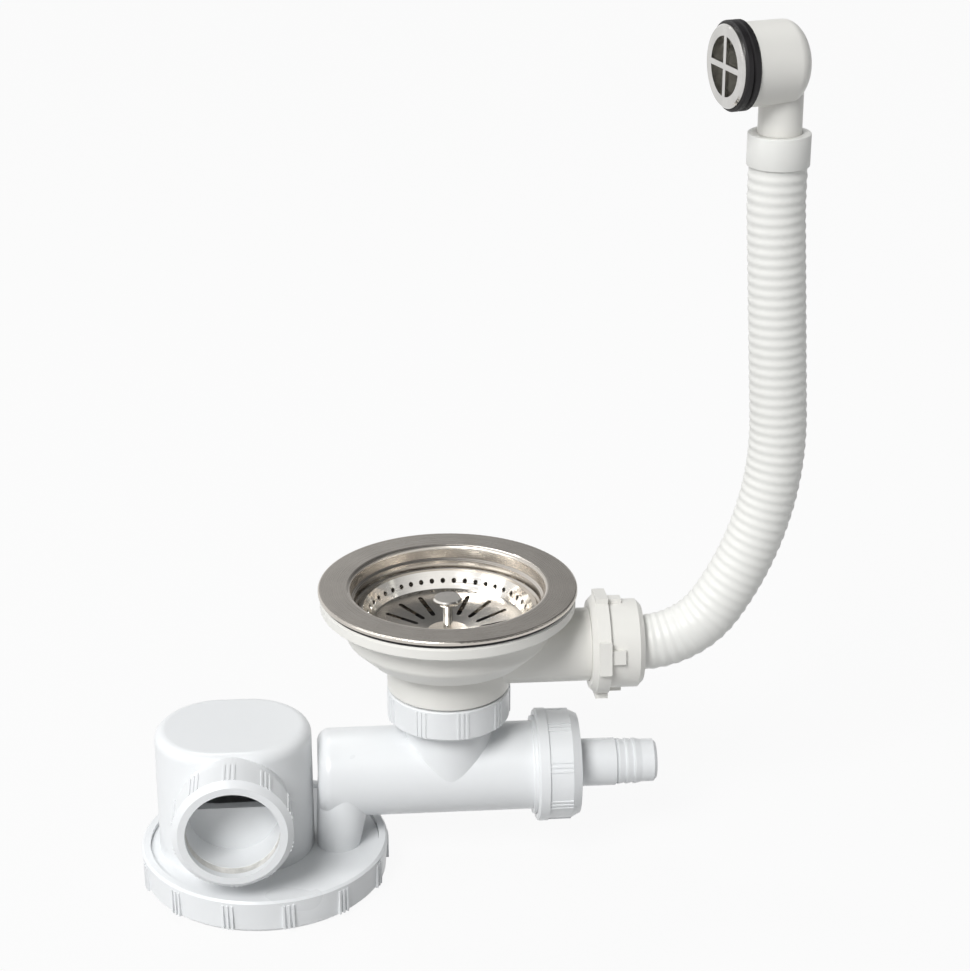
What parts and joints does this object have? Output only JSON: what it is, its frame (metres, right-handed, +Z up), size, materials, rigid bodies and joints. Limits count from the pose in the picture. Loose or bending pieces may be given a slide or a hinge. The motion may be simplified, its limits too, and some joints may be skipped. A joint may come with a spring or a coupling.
{
  "type": "sink waste and trap kit",
  "caption": "Sink waste with a steel basket strainer, corrugated overflow hose and head, and a low trap with a tee, an appliance nozzle and a front outlet.",
  "frame": {"origin": "on the strainer axis, at the underside of the steel rim, where the rim meets the sink", "axes": "+Z up along the strainer axis, +X along the tee pipe toward the appliance nozzle and the overflow, -Y out of the trap outlet"},
  "size_m": [0.2953, 0.1185, 0.3837],
  "materials": {
    "satin_steel": "satin",
    "bright_steel": "polished",
    "black_rubber": "matt",
    "pale_seal": "matt",
    "brass": "plain",
    "cream_plastic": "satin",
    "white_plastic": "semi-gloss",
    "chrome": "polished"
  },
  "bodies": {
    "kit": {"strainer_flange": "satin_steel", "sink_seal": "black_rubber", "overflow_gasket": "black_rubber", "inlet_seal": "black_rubber", "outlet_seal": "pale_seal", "appliance_seal": "black_rubber", "base_seal": "black_rubber", "overflow_seal": "black_rubber", "clamp_screw": "bright_steel", "screw_insert": "brass", "waste_body": "cream_plastic", "overflow_nut": "cream_plastic", "overflow_hose": "cream_plastic", "overflow_elbow": "cream_plastic", "trap_body": "white_plastic", "base_cap": "white_plastic", "inlet_nut": "white_plastic", "outlet_nut": "white_plastic", "appliance_nut": "white_plastic", "appliance_nozzle": "white_plastic", "overflow_grille": "chrome"},
    "basket": {"strainer_basket": "bright_steel", "basket_knob": "bright_steel", "basket_stopper": "black_rubber", "stem_clip": "bright_steel"}
  },
  "joints": [
    {"name": "basket_lift", "type": "slide", "parent": "kit", "child": "basket", "axis": [0, 0, 1], "range_m": [0, 0.06]}
  ]
}
